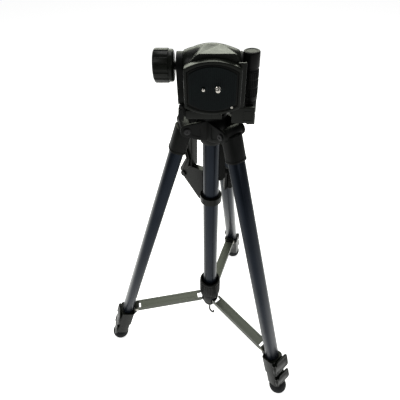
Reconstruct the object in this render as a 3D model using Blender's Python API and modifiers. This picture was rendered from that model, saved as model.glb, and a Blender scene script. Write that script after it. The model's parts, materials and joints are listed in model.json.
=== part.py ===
"""A small three-section tripod with a pan and tilt head, standing open on the floor.

The scene is in metres. Every dimension below, and every number passed to the
shape helpers, is in millimetres, and MM turns it into metres. The origin is on
the floor under the centre tube, +Z is up, and the camera plate faces -Y.
"""

import math

import bmesh
import bpy
from mathutils import Matrix, Vector

MM = 0.001
GAP = 0.3

# Stance of the legs
LEG_AZIMUTHS = {"right": -47.6, "rear": 72.4, "left": 192.4}
SPLAY = 18.33
HINGE_RADIUS = 37.0
HINGE_HEIGHT = 506.7
BALL_CENTRE = 517.3
BALL_RADIUS = 16.2

# Oval leg sections: depth towards the leg's outside, then width
UPPER_OVAL = (19.9, 23.6)
MIDDLE_OVAL = (16.5, 20.2)
LOWER_OVAL = (13.3, 17.0)
WALL = 1.2

# Distances down a leg from its hinge
SLEEVE_END = 40.0
UPPER_TUBE = (14.3, 447.0)
UPPER_LOCK = (433.0, 472.0)
MIDDLE_TUBE = (95.0, 488.0)
LOWER_LOCK = (473.5, 503.0)
LOWER_TUBE = (110.0, 512.0)

# Centre tube, column and crank
TUBE_RADIUS = 12.5
TUBE_BOTTOM = 82.0
TUBE_TOP = 516.0
COLUMN_RADIUS = 10.5
COLUMN_BOTTOM = 210.0
COLUMN_SHOULDER = 523.8
CRANK_AZIMUTH = 12.4
CRANK_HEIGHT = 421.0
CRANK_LENGTH = 30.0
PINION_RADIUS = 5.0
GRIP_CENTRE = 29.9
SHAFT_RADIUS = 2.6

# Spreader: braces from the sliding hub to the upper leg locks
BRACE_HEIGHT = 99.5
BRACE_OUTER = 154.0
BRACE_INNER = 22.0
BRACE_WIDTH = 18.6
BRACE_SHEET = 1.4
HUB_TOP = 153.0
HUB_BOTTOM = 84.0
HUB_RADIUS = 20.5

# Head
TILT_HEIGHT = 583.0
PLATE_CENTRE = 0.5
PLATE_HALF = 32.8
PLATE_TOP = 604.5
PLATE_BOTTOM = 541.5
RIM_FRONT = -46.0
PLATFORM_BACK = -34.3
PAD_FRONT = -46.5
SCREW_X = 6.7
PIN_X = -9.8
SCREW_HEIGHT = 574.0
KNOB_RADIUS = 20.0
HANDLE_X = 47.3
HANDLE_LEAN = 1.36
HANDLE_RADIUS = 10.3

# Carry handle
HANDLE_AZIMUTH = 140.0

# Pins, axles and the camera screw, as radii
HINGE_PIN = 2.5
BRACE_PIN = 1.6
LEVER_PIN = 1.5
KNUCKLE = 3.3
TILT_AXLE = 5.0
SPIGOT = 8.0
CAMERA_SCREW = 3.175
VIDEO_PIN = 2.0
RELEASE_PIN = 1.4
GRIP_CORE = 4.0

UPRIGHT = Matrix.Rotation(math.radians(90), 4, "X")
SIDEWAYS = Matrix(((0, 0, 1, 0), (1, 0, 0, 0), (0, 1, 0, 0), (0, 0, 0, 1)))


# ---------------------------------------------------------------- scene set-up


def clear_scene():
    for old in list(bpy.data.objects):
        bpy.data.objects.remove(old)


def new_collection(name):
    collection = bpy.data.collections.new(name)
    bpy.context.scene.collection.children.link(collection)
    return collection


def material(name, colour, roughness, metallic=0.0):
    made = bpy.data.materials.new(name)
    made.use_nodes = True
    shader = made.node_tree.nodes["Principled BSDF"]
    shader.inputs["Base Color"].default_value = (*colour, 1.0)
    shader.inputs["Roughness"].default_value = roughness
    shader.inputs["Metallic"].default_value = metallic
    return made


clear_scene()
PARTS = new_collection("camera_tripod")
CUTTERS = new_collection("cutters")
CUTTERS.hide_render = True
LOOKS = {
    "black plastic": ((0.012, 0.013, 0.013), 0.45, 0.0),
    "satin plastic": ((0.03, 0.033, 0.03), 0.35, 0.0),
    "blue-black tube": ((0.012, 0.018, 0.03), 0.32, 0.9),
    "olive channel": ((0.09, 0.1, 0.075), 0.4, 0.6),
    "bright steel": ((0.75, 0.73, 0.68), 0.2, 1.0),
    "dark steel": ((0.05, 0.05, 0.052), 0.3, 1.0),
    "black rubber": ((0.01, 0.011, 0.011), 0.75, 0.0),
}


def finish(obj, look, parent=None):
    """Gives a finished piece its own material, its parent and its shading."""
    made = material(f"{obj.name} {look}", *LOOKS[look])
    obj.data.materials.clear()
    obj.data.materials.append(made)
    obj.data.shade_smooth()
    obj.data.set_sharp_from_angle(angle=math.radians(32))
    obj.parent = parent
    return obj


def pivot(name, at, parent=None, turn=None):
    """An empty on a joint's axis, for the pieces that move together."""
    empty = bpy.data.objects.new(name, None)
    empty.empty_display_size = 0.02
    empty.matrix_basis = Matrix.Translation(Vector(at) * MM) @ (turn or Matrix())
    empty.parent = parent
    PARTS.objects.link(empty)
    return empty


# ------------------------------------------------------------- shape helpers


def from_bmesh(name, shape):
    mesh = bpy.data.meshes.new(name)
    shape.to_mesh(mesh)
    shape.free()
    obj = bpy.data.objects.new(name, mesh)
    PARTS.objects.link(obj)
    return obj


def box(name, low, high):
    """A box between two opposite corners."""
    low, high = Vector(low) * MM, Vector(high) * MM
    size = high - low
    place = Matrix.Translation((low + high) / 2) @ Matrix.Diagonal((*size, 1.0))
    shape = bmesh.new()
    bmesh.ops.create_cube(shape, size=1.0, matrix=place)
    return from_bmesh(name, shape)


def rod(name, radius, start, end, end_radius=None, sides=16):
    """A cylinder, or a cone when end_radius is given, from start to end."""
    start, end = Vector(start) * MM, Vector(end) * MM
    along = end - start
    turn = along.to_track_quat("Z", "Y").to_matrix().to_4x4()
    place = Matrix.Translation((start + end) / 2) @ turn
    far = radius if end_radius is None else end_radius
    shape = bmesh.new()
    bmesh.ops.create_cone(
        shape,
        cap_ends=True,
        segments=sides,
        radius1=radius * MM,
        radius2=far * MM,
        depth=along.length,
        matrix=place,
    )
    return from_bmesh(name, shape)


def turned(name, profile, closed=False, sides=18, place=None):
    """A turned solid: the profile of (radius, height) runs down the outer side."""
    mesh = bpy.data.meshes.new(name)
    points = [(radius * MM, 0.0, height * MM) for radius, height in profile]
    edges = [(i, i + 1) for i in range(len(points) - 1)]
    if closed:
        edges.append((len(points) - 1, 0))
    mesh.from_pydata(points, edges, [])
    obj = bpy.data.objects.new(name, mesh)
    screw = obj.modifiers.new("turn", "SCREW")
    screw.steps = sides
    screw.render_steps = sides
    screw.use_merge_vertices = True
    screw.merge_threshold = 0.00001
    PARTS.objects.link(obj)
    return as_mesh(obj, place)


def as_mesh(obj, place=None):
    """Swaps an object for the mesh it evaluates to, welded and moved by place."""
    bpy.context.view_layer.update()
    graph = bpy.context.evaluated_depsgraph_get()
    mesh = bpy.data.meshes.new_from_object(obj.evaluated_get(graph))
    shape = bmesh.new()
    shape.from_mesh(mesh)
    bmesh.ops.remove_doubles(shape, verts=shape.verts, dist=0.000002)
    if place is not None:
        shape.transform(place)
    name = obj.name
    bpy.data.objects.remove(obj)
    bpy.data.meshes.remove(mesh)
    return from_bmesh(name, shape)


def prism(name, outlines, low, high, plane=None):
    """Flat outlines, the second and later ones as holes, filled from low to high."""
    curve = bpy.data.curves.new(name, "CURVE")
    curve.dimensions = "2D"
    curve.fill_mode = "BOTH"
    curve.extrude = (high - low) / 2 * MM
    for outline in outlines:
        spline = curve.splines.new("POLY")
        spline.points.add(len(outline) - 1)
        for point, (across, up) in zip(spline.points, outline):
            point.co = (across * MM, up * MM, 0.0, 1.0)
        spline.use_cyclic_u = True
    obj = bpy.data.objects.new(name, curve)
    PARTS.objects.link(obj)
    middle = Matrix.Translation((0.0, 0.0, (low + high) / 2 * MM))
    return as_mesh(obj, (plane or Matrix()) @ middle)


def upright(name, outlines, near, far):
    """Outlines of (x, z), filled from y = near to y = far."""
    return prism(name, outlines, -far, -near, UPRIGHT)


def sideways(name, outlines, near, far):
    """Outlines of (y, z), filled from x = near to x = far."""
    return prism(name, outlines, near, far, SIDEWAYS)


def hull(name, points):
    """The convex solid around some points."""
    shape = bmesh.new()
    for point in points:
        shape.verts.new(Vector(point) * MM)
    bmesh.ops.convex_hull(shape, input=shape.verts)
    return from_bmesh(name, shape)


def wire(name, points, radius):
    """A round bar bent through some points."""
    curve = bpy.data.curves.new(name, "CURVE")
    curve.dimensions = "3D"
    curve.bevel_depth = radius * MM
    curve.bevel_resolution = 2
    curve.use_fill_caps = True
    spline = curve.splines.new("POLY")
    spline.points.add(len(points) - 1)
    for point, place in zip(spline.points, points):
        point.co = (*(Vector(place) * MM), 1.0)
    obj = bpy.data.objects.new(name, curve)
    PARTS.objects.link(obj)
    return as_mesh(obj)


def combine(base, tool, operation, parent):
    """Adds or takes away another shape, which stays hidden among the cutters."""
    tool.name = f"{base.name} {operation.lower()} {len(base.modifiers)}"
    PARTS.objects.unlink(tool)
    CUTTERS.objects.link(tool)
    tool.hide_render = True
    tool.display_type = "WIRE"
    tool.parent = parent
    step = base.modifiers.new(operation.lower(), "BOOLEAN")
    step.operation = operation
    step.object = tool


def assemble(base, look, parent=None, joined=(), cuts=()):
    """One piece from a base shape, the shapes joined to it, then its cuts."""
    for tool in joined:
        combine(base, tool, "UNION", parent)
    for tool in cuts:
        combine(base, tool, "DIFFERENCE", parent)
    return finish(base, look, parent)


def arc(centre, radius, start, end, steps):
    """Points along an arc, with the angles in degrees."""
    angles = [math.radians(start + (end - start) * i / steps) for i in range(steps + 1)]
    return [
        (centre[0] + radius * math.cos(a), centre[1] + radius * math.sin(a))
        for a in angles
    ]


def oval(size, grow=0.0, steps=16, power=2.7):
    """The outline of a leg section: depth along x, width along y."""
    depth, width = size[0] / 2 + grow, size[1] / 2 + grow
    points = []
    for step in range(steps):
        angle = 2 * math.pi * (step + 0.5) / steps
        c, s = math.cos(angle), math.sin(angle)
        x = depth * math.copysign(abs(c) ** (2 / power), c)
        y = width * math.copysign(abs(s) ** (2 / power), s)
        points.append((x, y))
    return points


def rounded(low, high, radius, steps=2):
    """A rectangle between two corners, with round corners."""
    (x0, y0), (x1, y1) = low, high
    corners = [
        ((x1 - radius, y1 - radius), 0),
        ((x0 + radius, y1 - radius), 90),
        ((x0 + radius, y0 + radius), 180),
        ((x1 - radius, y0 + radius), 270),
    ]
    return [p for c, a in corners for p in arc(c, radius, a, a + 90, steps)]


def around_z(degrees):
    return Matrix.Rotation(math.radians(degrees), 4, "Z")


# --------------------------------------------------------- spider and column


def make_spider():
    """The shoulder casting, with a clevis for each leg."""
    profile = [
        (20.0, 523.5),
        (21.0, 521.0),
        (21.0, 505.0),
        (18.5, 488.0),
        (15.5, 478.0),
        (TUBE_RADIUS + GAP, 478.0),
        (TUBE_RADIUS + GAP, TUBE_TOP + GAP),
        (COLUMN_RADIUS + GAP, TUBE_TOP + GAP),
        (COLUMN_RADIUS + GAP, 523.5),
    ]
    base = turned("spider", profile, closed=True, sides=20)
    knuckle = arc((HINGE_RADIUS, HINGE_HEIGHT), 8.6, 80, -70, 4)
    ear_outline = [(5.0, 519.5), *knuckle, (20.0, 491.0), (5.0, 489.0)]
    ears, bores = [], []
    for azimuth in LEG_AZIMUTHS.values():
        for near, far in ((14.3, 18.3), (-18.3, -14.3)):
            ear = upright("ear", [ear_outline], near, far)
            ear.data.transform(around_z(azimuth))
            ears.append(ear)
        ends = [(HINGE_RADIUS, side * 22.0, HINGE_HEIGHT) for side in (-1, 1)]
        bore = rod("bore", HINGE_PIN + GAP, *ends, sides=10)
        bore.data.transform(around_z(azimuth))
        bores.append(bore)
    assemble(base, "black plastic", joined=ears, cuts=bores)


def make_centre_tube():
    base = turned(
        "centre_tube",
        [
            (TUBE_RADIUS, TUBE_TOP),
            (TUBE_RADIUS, TUBE_BOTTOM),
            (TUBE_RADIUS - WALL, TUBE_BOTTOM),
            (TUBE_RADIUS - WALL, TUBE_TOP),
        ],
        closed=True,
        sides=24,
    )
    hole = rod("hole", SHAFT_RADIUS + GAP, (5.0, 0.0, CRANK_HEIGHT), (20.0, 0.0, CRANK_HEIGHT))
    hole.data.transform(around_z(CRANK_AZIMUTH))
    assemble(base, "blue-black tube", cuts=[hole])


def make_end_plug():
    profile = [
        (11.0, 93.0),
        (11.0, TUBE_BOTTOM - GAP),
        (TUBE_RADIUS, TUBE_BOTTOM - GAP),
        (TUBE_RADIUS, 75.0),
        (9.0, 69.0),
        (2.3, 69.0),
        (2.3, 93.0),
    ]
    finish(turned("end_plug", profile, closed=True), "black plastic")


def make_weight_hook():
    """A swivelling hook for a bag, hanging from the end plug."""
    swivel = pivot("hook_swivel", (0.0, 0.0, 80.0), turn=around_z(-42.0))
    bend = arc((6.0, -38.0), 6.0, 180, 380, 6)
    points = [(0.0, 0.0, 11.0)] + [(x, 0.0, z) for x, z in bend]
    hook = wire("weight_hook", points, 1.8)
    finish(hook, "dark steel", swivel)


def make_column():
    """The elevator column, with a slot for the pinion along one side."""
    slide = pivot("column_slide", (0.0, 0.0, COLUMN_SHOULDER))
    profile = [
        (0.0, 538.0),
        (SPIGOT, 538.0),
        (SPIGOT, 527.3),
        (16.0, 527.3),
        (16.0, COLUMN_SHOULDER),
        (COLUMN_RADIUS, COLUMN_SHOULDER),
        (COLUMN_RADIUS, COLUMN_BOTTOM),
        (8.2, COLUMN_BOTTOM),
        (8.2, 500.0),
        (0.0, 500.0),
    ]
    to_pivot = Matrix.Translation((0.0, 0.0, -COLUMN_SHOULDER * MM))
    base = turned("column", profile, sides=20, place=to_pivot)
    slot = box("slot", (4.3, -5.6, 216.0), (13.0, 5.6, 494.0))
    slot.data.transform(to_pivot @ around_z(CRANK_AZIMUTH))
    assemble(base, "satin plastic", slide, cuts=[slot])
    return slide


def make_crank():
    """Gear housing, pinion shaft, arm and fold-out grip."""
    outline = [
        (8.0, 474.0),
        (16.5, 472.0),
        (20.2, 430.0),
        (20.2, 413.0),
        (16.0, 408.0),
        (8.0, 408.0),
    ]
    frame = pivot("crank_frame", (0.0, 0.0, 0.0), turn=around_z(CRANK_AZIMUTH))
    housing = upright("crank_housing", [outline], -6.5, 6.5)
    axis = (8.0, 0.0, CRANK_HEIGHT), (30.0, 0.0, CRANK_HEIGHT)
    clear_tube = rod("clear", TUBE_RADIUS + GAP, (0, 0, 400), (0, 0, 480), sides=24)
    assemble(
        housing,
        "black plastic",
        frame,
        cuts=[clear_tube, rod("bore", SHAFT_RADIUS + GAP, *axis)],
    )
    turning = pivot("crank_axis", (0.0, 0.0, CRANK_HEIGHT), frame)
    pinion = rod("crank_shaft", PINION_RADIUS, (4.9, 0.0, 0.0), (9.9, 0.0, 0.0))
    shaft = rod("shaft", SHAFT_RADIUS, (9.0, 0.0, 0.0), (23.4, 0.0, 0.0))
    assemble(pinion, "bright steel", turning, joined=[shaft])

    arm = rod("crank_arm", 6.2, (20.5, 0.0, 0.0), (23.9, 0.0, 0.0))
    blade = box("blade", (20.5, -4.6, -CRANK_LENGTH - 4.0), (23.9, 4.6, 0.0))
    tongue_outline = [
        (22.0, 4.0 - CRANK_LENGTH),
        (22.0, -4.0 - CRANK_LENGTH),
        *arc((GRIP_CENTRE, -CRANK_LENGTH), 4.0, -90, 90, 5),
    ]
    tongue = upright("tongue", [tongue_outline], -2.2, 2.2)
    pin_ends = [(GRIP_CENTRE, side * 4.6, -CRANK_LENGTH) for side in (-1, 1)]
    assemble(
        arm,
        "black plastic",
        turning,
        joined=[blade, tongue, rod("pin", 1.3, *pin_ends, sides=12)],
        cuts=[rod("bore", SHAFT_RADIUS + GAP, (15, 0, 0), (23.6, 0, 0))],
    )
    fold = pivot("grip_fold", (GRIP_CENTRE, 0.0, -CRANK_LENGTH), turning)
    round_end = [(5.6 * math.cos(a), 5.6 * math.sin(a)) for a in (-0.3, -0.7, -1.1)]
    profile = [(0.0, 33.0), (4.4, 33.0), (5.6, 30.5), (5.6, 0.0), *round_end, (0, -5.6)]
    grip = turned("crank_grip", profile, sides=20)
    bore_ends = [(0.0, side * 7.0, 0.0) for side in (-1, 1)]
    assemble(
        grip,
        "black plastic",
        fold,
        cuts=[
            box("fork", (-8.0, -2.5, -8.0), (4.7, 2.5, 5.2)),
            rod("bore", 1.3 + GAP, *bore_ends, sides=12),
        ],
    )


def make_carry_handle():
    """A moulded grip beside the tube, and the collar whose gusset carries it."""
    frame = pivot("handle_frame", (0.0, 0.0, 0.0), turn=around_z(HANDLE_AZIMUTH))
    outline = [
        (29.4, 500.0),
        (35.0, 499.0),
        (39.0, 489.0),
        (57.0, 458.0),
        (46.0, 431.0),
        (60.0, 405.0),
        (60.0, 399.0),
        (41.0, 413.6),
        (34.0, 418.0),
        (33.0, 470.0),
        (29.4, 486.0),
    ]
    grip = upright("carry_handle", [outline], -7.0, 7.0)
    finish(grip, "satin plastic", frame)

    ring = turned(
        "handle_collar",
        [
            (17.3, 378.0),
            (17.3, 366.0),
            (TUBE_RADIUS + GAP, 366.0),
            (TUBE_RADIUS + GAP, 378.0),
        ],
        closed=True,
        sides=24,
    )
    gusset_outline = [
        (14.0, 420.0),
        (34.0, 417.2),
        (41.0, 412.9),
        *arc((54.0, 396.0), 6.0, 40, -60, 4),
        (22.0, 360.0),
        (14.0, 360.0),
    ]
    gusset = upright("gusset", [gusset_outline], -5.0, 5.0)
    boss = rod("boss", 4.6, (54.0, -7.5, 396.0), (54.0, 7.5, 396.0), sides=12)
    clear_tube = rod("clear", TUBE_RADIUS + GAP, (0, 0, 350), (0, 0, 430), sides=24)
    assemble(
        ring,
        "satin plastic",
        frame,
        joined=[gusset, boss],
        cuts=[clear_tube],
    )


# ------------------------------------------------------------------ spreader


def make_brace_hub():
    slide = pivot("hub_slide", (0.0, 0.0, BRACE_HEIGHT))
    profile = [
        (19.2, HUB_TOP),
        (HUB_RADIUS, HUB_TOP - 2.5),
        (HUB_RADIUS, 113.0),
        (18.6, 104.0),
        (17.0, 89.0),
        (15.3, 87.0),
        (15.3, HUB_BOTTOM),
        (TUBE_RADIUS + GAP, HUB_BOTTOM),
        (TUBE_RADIUS + GAP, 119.0),
        (16.8, 122.0),
        (16.8, HUB_TOP),
    ]
    to_pivot = Matrix.Translation((0.0, 0.0, -BRACE_HEIGHT * MM))
    base = turned("brace_hub", profile, closed=True, sides=24, place=to_pivot)
    slots = []
    for azimuth in LEG_AZIMUTHS.values():
        slot = box("slot", (7.0, -9.9, 88.5), (26.0, 9.9, 107.5))
        slot.data.transform(to_pivot @ around_z(azimuth))
        slots.append(slot)
    assemble(base, "black plastic", slide, cuts=slots)


def make_brace(side, lug):
    """A channel from the hub to the leg's lug, and the pin that it turns on."""
    turning = pivot(f"brace_{side}_axis", (0, 0, 0), lug)
    reach = BRACE_INNER - BRACE_OUTER
    half = 4.8
    ends = [*arc((0, 0), half, 90, -90, 4), *arc((reach, 0), half, 270, 90, 4)]
    outer = BRACE_WIDTH / 2
    inner = outer - BRACE_SHEET
    flange = upright(f"brace_{side}", [ends], inner, outer)
    other = upright("flange", [ends], -outer, -inner)
    web = box(
        "web",
        (27.0 - BRACE_OUTER, -outer + 0.2, half - BRACE_SHEET),
        (145.5 - BRACE_OUTER, outer - 0.2, half - 0.05),
    )
    bore_ends = [(0.0, s * 12.0, 0.0) for s in (-1, 1)]
    assemble(
        flange,
        "olive channel",
        turning,
        joined=[web, other],
        cuts=[rod("bore", BRACE_PIN + GAP, *bore_ends, sides=8)],
    )
    pin = rod(f"brace_pin_{side}", BRACE_PIN, (0, -10.0, 0), (0, 10.0, 0), sides=8)
    heads = []
    for s in (-1, 1):
        face = outer + GAP
        heads.append(rod("head", 3.0, (0, s * face, 0), (0, s * (face + 1.4), 0), sides=10))
    assemble(pin, "bright steel", lug, joined=heads)


# ---------------------------------------------------------------------- legs


def make_lever(name, hinge, height, reach, tip, overhang, parent):
    """A flip lever that wraps the outer side of a lock, hinged at one corner."""
    outline = [
        (hinge[0] + 2.9, hinge[1] - 1.0),
        (hinge[0] + 2.9, reach),
        (hinge[0] + 2.2, tip),
        (hinge[0] - 0.6, tip + 0.6),
        (hinge[0] - 0.6, hinge[1] + 3.0),
        (hinge[0], hinge[1]),
    ]
    outline = [(x - hinge[0], y - hinge[1]) for x, y in outline]
    turning = pivot(f"{name}_axis", (*hinge, height[1]), parent)
    length = height[1] - height[0]
    blade = prism(name, [outline], -length, 0.0)
    knuckle = rod("knuckle", KNUCKLE, (0, 0, -length), (0, 0, 0), sides=12)
    tab = box(
        "tab",
        (-0.5, reach - hinge[1] - 4.0, -length + 1.0),
        (2.4, tip - hinge[1] + 0.4, 4.6),
    )
    across = tip - hinge[1]
    cheek = [(2.7, 4.4), (2.7, across - 5.0), (2.0, across - 1.0), (-0.4, across), (-0.4, 4.4)]
    plate = prism("plate", [cheek], -length - overhang, overhang)
    bore = rod("bore", LEVER_PIN + GAP, (0, 0, -length - 5), (0, 0, 5), sides=8)
    assemble(blade, "satin plastic", turning, joined=[knuckle, tab, plate], cuts=[bore])


def lever_mount(hinge, height, room):
    """Ears and a pin for a lever, and the pocket in which its knuckle turns."""
    low, high = height
    joined = [
        rod("ear", KNUCKLE, (*hinge, low - 3.6), (*hinge, low - GAP), sides=10),
        rod("ear", KNUCKLE, (*hinge, high + GAP), (*hinge, high + 3.6), sides=10),
    ]
    pocket_ends = (*hinge, low - GAP), (*hinge, high + GAP)
    pocket = rod("pocket", KNUCKLE + room, *pocket_ends, sides=12)
    pin = rod("pin", LEVER_PIN, (*hinge, low - 2.0), (*hinge, high + 2.0), sides=8)
    return joined, pocket, pin


def make_lock(name, span, body, held, passing, hinge, lever_height, parent, lug=None):
    """A lock body: it grips one oval tube and lets a thinner one slide through."""
    top, bottom = span
    base = prism(name, [rounded(*body, 5.0)], -bottom, -top)
    ears, pocket, pin = lever_mount(hinge, lever_height, 0.4)
    seat = held[1]
    cuts = [
        prism("seat", [oval(held[0], GAP)], -seat - GAP, -top + 5.0),
        prism("bore", [oval(passing, GAP)], -bottom - 5.0, -seat + 5.0),
        pocket,
    ]
    joined = ears if lug is None else [*ears, lug]
    assemble(base, "satin plastic", parent, joined=joined, cuts=cuts)
    combine(base, pin, "UNION", parent)
    return base


def make_leg(side, azimuth):
    turn = around_z(azimuth)
    at = turn @ Vector((HINGE_RADIUS, 0.0, HINGE_HEIGHT))
    splay = turn @ Matrix.Rotation(math.radians(-SPLAY), 4, "Y")
    leg = pivot(f"leg_{side}_hinge", at, turn=splay)

    ends = [(0.0, s * 18.8, 0.0) for s in (-1, 1)]
    seat = pivot(f"leg_{side}_pin_seat", at, turn=splay)
    heads = [
        rod("head", 4.4, (0, s * 18.6, 0), (0, s * 20.4, 0), sides=12) for s in (-1, 1)
    ]
    pin = rod(f"leg_{side}_hinge_pin", HINGE_PIN, *ends, sides=10)
    assemble(pin, "dark steel", seat, joined=heads)

    knuckle = rod(f"leg_{side}_sleeve", 8.2, (0, -13.9, 0), (0, 13.9, 0), sides=16)
    skirt = prism("skirt", [oval((24.0, 27.4))], -SLEEVE_END, -3.0)
    socket = prism("socket", [oval(UPPER_OVAL, GAP)], -SLEEVE_END - 5, GAP - UPPER_TUBE[0])
    bore = rod("bore", HINGE_PIN + GAP, (0, -20, 0), (0, 20, 0), sides=10)
    assemble(knuckle, "black plastic", leg, joined=[skirt], cuts=[socket, bore])

    upper = prism(
        f"leg_{side}_upper_tube",
        [oval(UPPER_OVAL), oval(UPPER_OVAL, -WALL)],
        -UPPER_TUBE[1],
        -UPPER_TUBE[0],
    )
    finish(upper, "blue-black tube", leg)

    # The lug stands on the inner side of the upper lock, level with the hub.
    across = BRACE_OUTER - HINGE_RADIUS
    down = BRACE_HEIGHT - HINGE_HEIGHT
    s, c = math.sin(math.radians(SPLAY)), math.cos(math.radians(SPLAY))
    lug_at = (across * c + down * s, across * -s + down * c)
    lug_outline = [
        (-10.4, lug_at[1] + 6.0),
        *arc(lug_at, 4.9, 70, 215, 4),
        (-15.0, -444.0),
        (-11.0, -450.0),
        (-11.0, -434.0),
        (-10.4, -433.5),
    ]
    lug = upright("lug", [lug_outline], -7.6, 7.6)
    lug_bore = rod(
        "lug_bore",
        BRACE_PIN + GAP,
        (lug_at[0], -20, lug_at[1]),
        (lug_at[0], 20, lug_at[1]),
        sides=8,
    )
    upper_hinge = (14.0, -12.2)
    upper_lever = (-457.0, -442.0)
    lock = make_lock(
        f"leg_{side}_upper_lock",
        UPPER_LOCK,
        ((-13.8, -15.4), (12.8, 15.4)),
        (UPPER_OVAL, UPPER_TUBE[1]),
        MIDDLE_OVAL,
        upper_hinge,
        upper_lever,
        leg,
        lug,
    )
    combine(lock, lug_bore, "DIFFERENCE", leg)
    make_lever(f"leg_{side}_upper_lever", upper_hinge, upper_lever, 13.0, 21.5, 7.0, leg)

    unturn = Matrix.Rotation(math.radians(SPLAY), 4, "Y")
    lug_pivot = pivot(f"lug_{side}", (lug_at[0], 0.0, lug_at[1]), leg, turn=unturn)
    make_brace(side, lug_pivot)

    middle = pivot(f"leg_{side}_middle_slide", (0, 0, 0), leg)
    tube = prism(
        f"leg_{side}_middle_tube",
        [oval(MIDDLE_OVAL), oval(MIDDLE_OVAL, -WALL + 0.2)],
        -MIDDLE_TUBE[1],
        -MIDDLE_TUBE[0],
    )
    finish(tube, "blue-black tube", middle)
    lower_hinge = (12.8, -11.4)
    lower_lever = (-493.0, -480.5)
    make_lock(
        f"leg_{side}_lower_lock",
        LOWER_LOCK,
        ((-12.2, -14.2), (11.6, 14.2)),
        (MIDDLE_OVAL, MIDDLE_TUBE[1]),
        LOWER_OVAL,
        lower_hinge,
        lower_lever,
        middle,
    )
    make_lever(f"leg_{side}_lower_lever", lower_hinge, lower_lever, 12.0, 20.5, 5.3, middle)

    lower = pivot(f"leg_{side}_lower_slide", (0, 0, 0), middle)
    tube = prism(
        f"leg_{side}_lower_tube",
        [oval(LOWER_OVAL), oval(LOWER_OVAL, -WALL + 0.2)],
        -LOWER_TUBE[1],
        -LOWER_TUBE[0],
    )
    finish(tube, "blue-black tube", lower)
    make_foot(side, lower)


def make_foot(side, parent):
    """A rubber ball, open at the top for the tube and flat where it stands."""
    top = BALL_CENTRE - 505.6
    start = math.degrees(math.asin(top / BALL_RADIUS))
    side_points = arc((0, 0), BALL_RADIUS, start, -90, 7)
    profile = [(0.0, top), *side_points[:-1], (0.0, -BALL_RADIUS)]
    place = Matrix.Translation((0, 0, -BALL_CENTRE * MM))
    ball = turned(f"foot_{side}", profile, sides=16, place=place)
    socket = prism("socket", [oval(LOWER_OVAL, GAP)], -LOWER_TUBE[1] - GAP, -500.0)
    assemble(ball, "black rubber", parent, cuts=[socket])
    floor = box("floor", (-260, -260, -20), (260, 260, 0))
    combine(ball, floor, "DIFFERENCE", None)


# ---------------------------------------------------------------------- head


def plate_outline(inset, steps=8):
    """The camera plate: straight sides, and gently bowed top and bottom."""
    half = PLATE_HALF - inset
    rise = 8.5
    radius = (half**2 + rise**2) / (2 * rise)
    sweep = math.degrees(math.asin(half / radius))
    top = PLATE_TOP - inset
    low = PLATE_BOTTOM + inset
    over = arc((PLATE_CENTRE, top - radius), radius, 90 - sweep, 90 + sweep, steps)
    under = arc((PLATE_CENTRE, low + radius), radius, 270 - sweep, 270 + sweep, steps)
    return over + under


def about_tilt(outline):
    return [(a, z - TILT_HEIGHT) for a, z in outline]


def make_pan_base(column):
    """The turning base: a round foot, a cross beam and two cheeks."""
    panning = pivot("pan_axis", (0, 0, -COLUMN_SHOULDER), column)
    profile = [
        (0.0, 541.0),
        (22.0, 541.0),
        (24.0, 538.5),
        (24.0, 530.0),
        (21.0, 527.6),
        (SPIGOT + GAP, 527.6),
        (SPIGOT + GAP, 538.3),
        (0.0, 538.3),
    ]
    foot = turned("pan_base", profile, sides=20)
    beam = box("beam", (-43.0, -13.0, 539.0), (36.0, 13.0, 548.0))
    cheek = [
        (-13.0, 540.0),
        (13.0, 540.0),
        *arc((0.0, TILT_HEIGHT), 16.5, 0, 180, 8),
    ]
    left = sideways("cheek", [cheek], -43.0, -34.9)
    right = sideways("cheek", [cheek], 32.9, 36.0)
    axle = (-60, 0, TILT_HEIGHT), (60, 0, TILT_HEIGHT)
    bore = rod("bore", TILT_AXLE + GAP, *axle, sides=14)
    screw_hole = rod("hole", 2.3, (0.5, -30, 533), (0.5, -17.6, 533), sides=12)
    assemble(
        foot,
        "black plastic",
        panning,
        joined=[beam, left, right],
        cuts=[bore, screw_hole],
    )
    knob_turn = pivot("pan_knob_axis", (0.5, -18.0, 533.0), panning, turn=UPRIGHT)
    knob = [(0, 15.0), (3.4, 15.0), (4.3, 13.8), (4.3, 7.5), (2.0, 7.0), (2.0, 0), (0, 0)]
    finish(turned("pan_lock_knob", knob, sides=16), "black plastic", knob_turn)
    return panning


def make_tilt_body(tilting):
    """The barrel on the tilt axle, drawn out to the camera platform."""
    profile = [
        (0.0, 36.3),
        (TILT_AXLE, 36.3),
        (TILT_AXLE, 32.5),
        (17.6, 32.5),
        (21.5, 22.0),
        (24.6, 10.0),
        (25.6, -1.0),
        (24.6, -12.0),
        (21.5, -23.0),
        (17.6, -34.5),
        (TILT_AXLE, -34.5),
        (TILT_AXLE, -49.0),
        (0.0, -49.0),
    ]
    along_x = Matrix.Rotation(math.radians(90), 4, "Y")
    barrel = turned("tilt_body", profile, sides=20, place=along_x)
    front = [
        (-32.0, 552.0),
        (-32.0, 594.0),
        (-17.0, 608.0),
        (27.5, 608.0),
        (33.0, 594.0),
        (33.0, 552.0),
        (26.0, 545.0),
        (-25.0, 545.0),
    ]
    back = [
        (-11.0, 608.0),
        (12.0, 608.0),
        (20.0, 592.0),
        (20.0, 566.0),
        (12.0, 561.0),
        (-11.0, 561.0),
        (-20.0, 566.0),
        (-20.0, 592.0),
    ]
    points = [(x, PLATFORM_BACK + GAP, z) for x, z in about_tilt(front)]
    points += [(x, 2.0, z) for x, z in about_tilt(back)]
    assemble(barrel, "satin plastic", tilting, joined=[hull("hopper", points)])


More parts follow.
